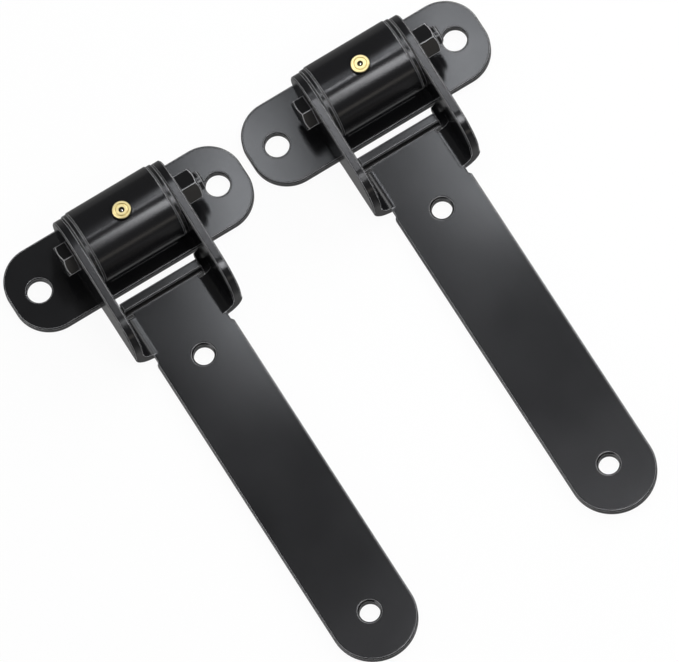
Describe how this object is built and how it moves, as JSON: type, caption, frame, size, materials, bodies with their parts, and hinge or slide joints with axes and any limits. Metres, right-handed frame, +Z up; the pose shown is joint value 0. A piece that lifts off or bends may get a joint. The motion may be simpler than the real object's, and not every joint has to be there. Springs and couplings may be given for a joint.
{
  "type": "pair of gate hinges",
  "caption": "Heavy strap gate hinges, each with a bolt-on mounting plate, a greased barrel and a folded strap leaf whose ears swing on a through bolt.",
  "frame": {"origin": "centre of the pair's footprint, on the plane that the backs of plates and straps lie on", "axes": "+X along the pivots towards the nuts, straps reach towards -Y, +Z up out of the plates"},
  "size_m": [0.2748, 0.2822, 0.0471],
  "materials": {
    "black_coat": "satin black powder coat",
    "black_bush": "satin black, turned",
    "black_fastener": "black coated fastener",
    "bare_steel": "bare turned steel",
    "ball_steel": "polished ball",
    "nipple_brass": "turned brass"
  },
  "bodies": {
    "plates": {"left_mounting_plate": "black_coat", "left_barrel": "black_coat", "left_front_weld_bead": "black_coat", "left_rear_weld_bead": "black_coat", "left_head_side_bush": "black_bush", "left_nut_side_bush": "black_bush", "left_grease_nipple": "nipple_brass", "left_nipple_spring": "bare_steel", "right_mounting_plate": "black_coat", "right_barrel": "black_coat", "right_front_weld_bead": "black_coat", "right_rear_weld_bead": "black_coat", "right_head_side_bush": "black_bush", "right_nut_side_bush": "black_bush", "right_grease_nipple": "nipple_brass", "right_nipple_spring": "bare_steel"},
    "left_leaf": {"left_strap_leaf": "black_coat", "left_pivot_sleeve": "bare_steel", "left_pivot_bolt": "black_fastener", "left_hex_nut": "black_fastener"},
    "left_ball": {"left_check_ball": "ball_steel"},
    "right_leaf": {"right_strap_leaf": "black_coat", "right_pivot_sleeve": "bare_steel", "right_pivot_bolt": "black_fastener", "right_hex_nut": "black_fastener"},
    "right_ball": {"right_check_ball": "ball_steel"}
  },
  "joints": [
    {"name": "left_swing", "type": "hinge", "parent": "plates", "child": "left_leaf", "pos_m": [-0.0699, 0.11635, 0.0246], "axis": [-1, 0, 0], "range_deg": [0, 180]},
    {"name": "left_ball_press", "type": "slide", "parent": "plates", "child": "left_ball", "axis": [0, 0, -1], "range_m": [0, 0.0008], "stiffness_N_per_m": 200, "springref_m": -0.0004, "deforming": ["left_nipple_spring"]},
    {"name": "right_swing", "type": "hinge", "parent": "plates", "child": "right_leaf", "pos_m": [0.0699, 0.11815, 0.0246], "axis": [-1, 0, 0], "range_deg": [0, 180]},
    {"name": "right_ball_press", "type": "slide", "parent": "plates", "child": "right_ball", "axis": [0, 0, -1], "range_m": [0, 0.0008], "stiffness_N_per_m": 200, "springref_m": -0.0004, "deforming": ["right_nipple_spring"]}
  ]
}
